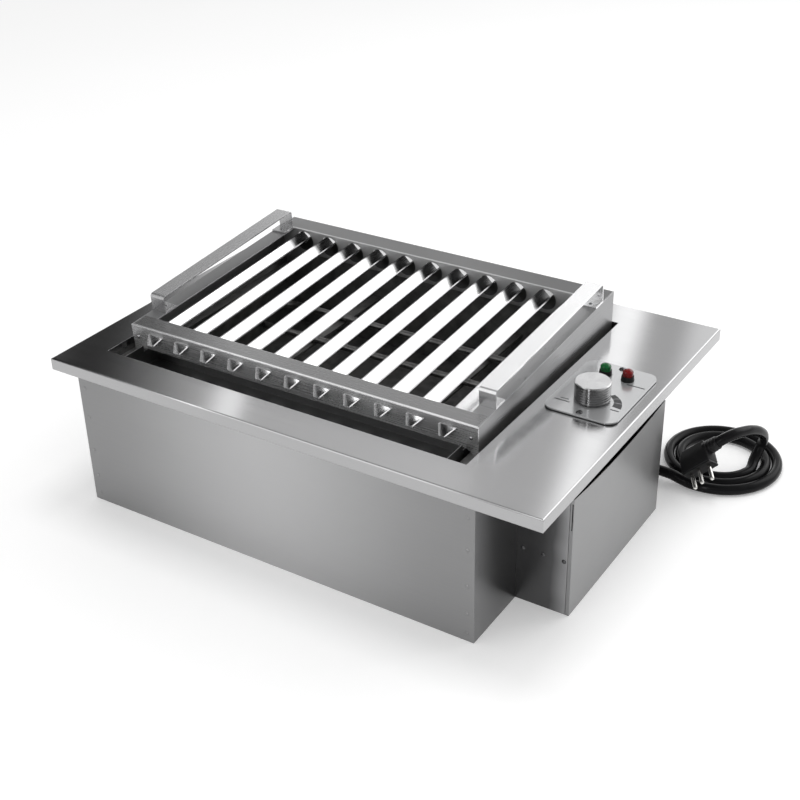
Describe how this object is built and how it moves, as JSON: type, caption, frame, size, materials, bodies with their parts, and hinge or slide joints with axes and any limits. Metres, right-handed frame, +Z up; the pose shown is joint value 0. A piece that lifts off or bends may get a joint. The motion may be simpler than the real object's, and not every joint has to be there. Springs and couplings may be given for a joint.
{
  "type": "built-in electric grill",
  "caption": "Drop-in steel grill with a flat deck, a tilted lift-off grate of V channel bars draining into a front trough, an electric element below, a side control box and a coiled mains lead.",
  "frame": {"origin": "on the floor plane, below the middle of the deck", "axes": "+X to the control box (right), +Y to the rear, +Z up"},
  "size_m": [0.681, 0.5246, 0.2472],
  "materials": {
    "deck_steel": "fine brushed, satin",
    "casing_steel": "fine brushed, satin",
    "fastener_steel": "bright",
    "liner_steel": "satin, heat darkened",
    "element_sheath": "matt, heat darkened",
    "ceramic": "glazed ceramic",
    "brass": "satin",
    "copper": "satin copper",
    "grate_steel": "fine brushed, satin",
    "trough_steel": "satin",
    "panel_grey": "glossy print film on sheet",
    "gasket_rubber": "matt",
    "knob_aluminium": "turned, bright",
    "thermostat_plastic": "moulded",
    "green_lens": "translucent, gloss",
    "red_lens": "translucent, gloss",
    "black_plastic": "moulded",
    "cord_rubber": "glossy sheath",
    "plug_rubber": "satin moulded",
    "pin_metal": "plated"
  },
  "bodies": {
    "grill": {"deck_plate": "deck_steel", "casing_front": "casing_steel", "casing_left": "casing_steel", "casing_right": "casing_steel", "casing_rear": "casing_steel", "casing_bottom": "casing_steel", "control_box_shell": "casing_steel", "control_box_cover": "casing_steel", "casing_rivets": "fastener_steel", "control_box_screws": "fastener_steel", "panel_screws": "fastener_steel", "thermostat_nut": "fastener_steel", "firebox_liner": "liner_steel", "grate_ledge_left": "liner_steel", "grate_ledge_right": "liner_steel", "trough_ledge": "liner_steel", "element_supports": "liner_steel", "heating_element": "element_sheath", "element_terminals": "ceramic", "terminal_block": "ceramic", "element_collars": "brass", "thermostat_capillary": "copper", "control_panel": "panel_grey", "panel_gasket": "gasket_rubber", "thermostat_body": "thermostat_plastic", "green_lens": "green_lens", "red_lens": "red_lens", "lamp_bezels": "black_plastic", "lamp_bodies": "black_plastic", "cord_gland": "black_plastic", "gland_nut": "black_plastic", "cord_lead": "cord_rubber", "cord_coil": "cord_rubber", "cord_tail": "cord_rubber", "plug_body": "plug_rubber", "plug_pins": "pin_metal"},
    "knob": {"knob": "knob_aluminium", "thermostat_shaft": "fastener_steel"},
    "trough": {"grease_trough": "trough_steel"},
    "grate": {"grate_front_rail": "grate_steel", "grate_rear_rail": "grate_steel", "grate_left_side": "grate_steel", "grate_right_side": "grate_steel", "left_handle": "grate_steel", "right_handle": "grate_steel", "grate_rivets": "fastener_steel", "v_bar_01": "grate_steel", "v_bar_02": "grate_steel", "v_bar_03": "grate_steel", "v_bar_04": "grate_steel", "v_bar_05": "grate_steel", "v_bar_06": "grate_steel", "v_bar_07": "grate_steel", "v_bar_08": "grate_steel", "v_bar_09": "grate_steel", "v_bar_10": "grate_steel", "v_bar_11": "grate_steel"}
  },
  "joints": [
    {"name": "knob_turn", "type": "hinge", "parent": "grill", "child": "knob", "pos_m": [0.2465, -0.0035, 0.2], "axis": [0, 0, 1], "range_deg": [-270, 0]},
    {"name": "trough_lift", "type": "slide", "parent": "grill", "child": "trough", "axis": [0, 0, 1], "range_m": [0, 0.06]},
    {"name": "grate_lift", "type": "slide", "parent": "trough", "child": "grate", "axis": [0, 0, 1], "range_m": [0, 0.12]}
  ]
}
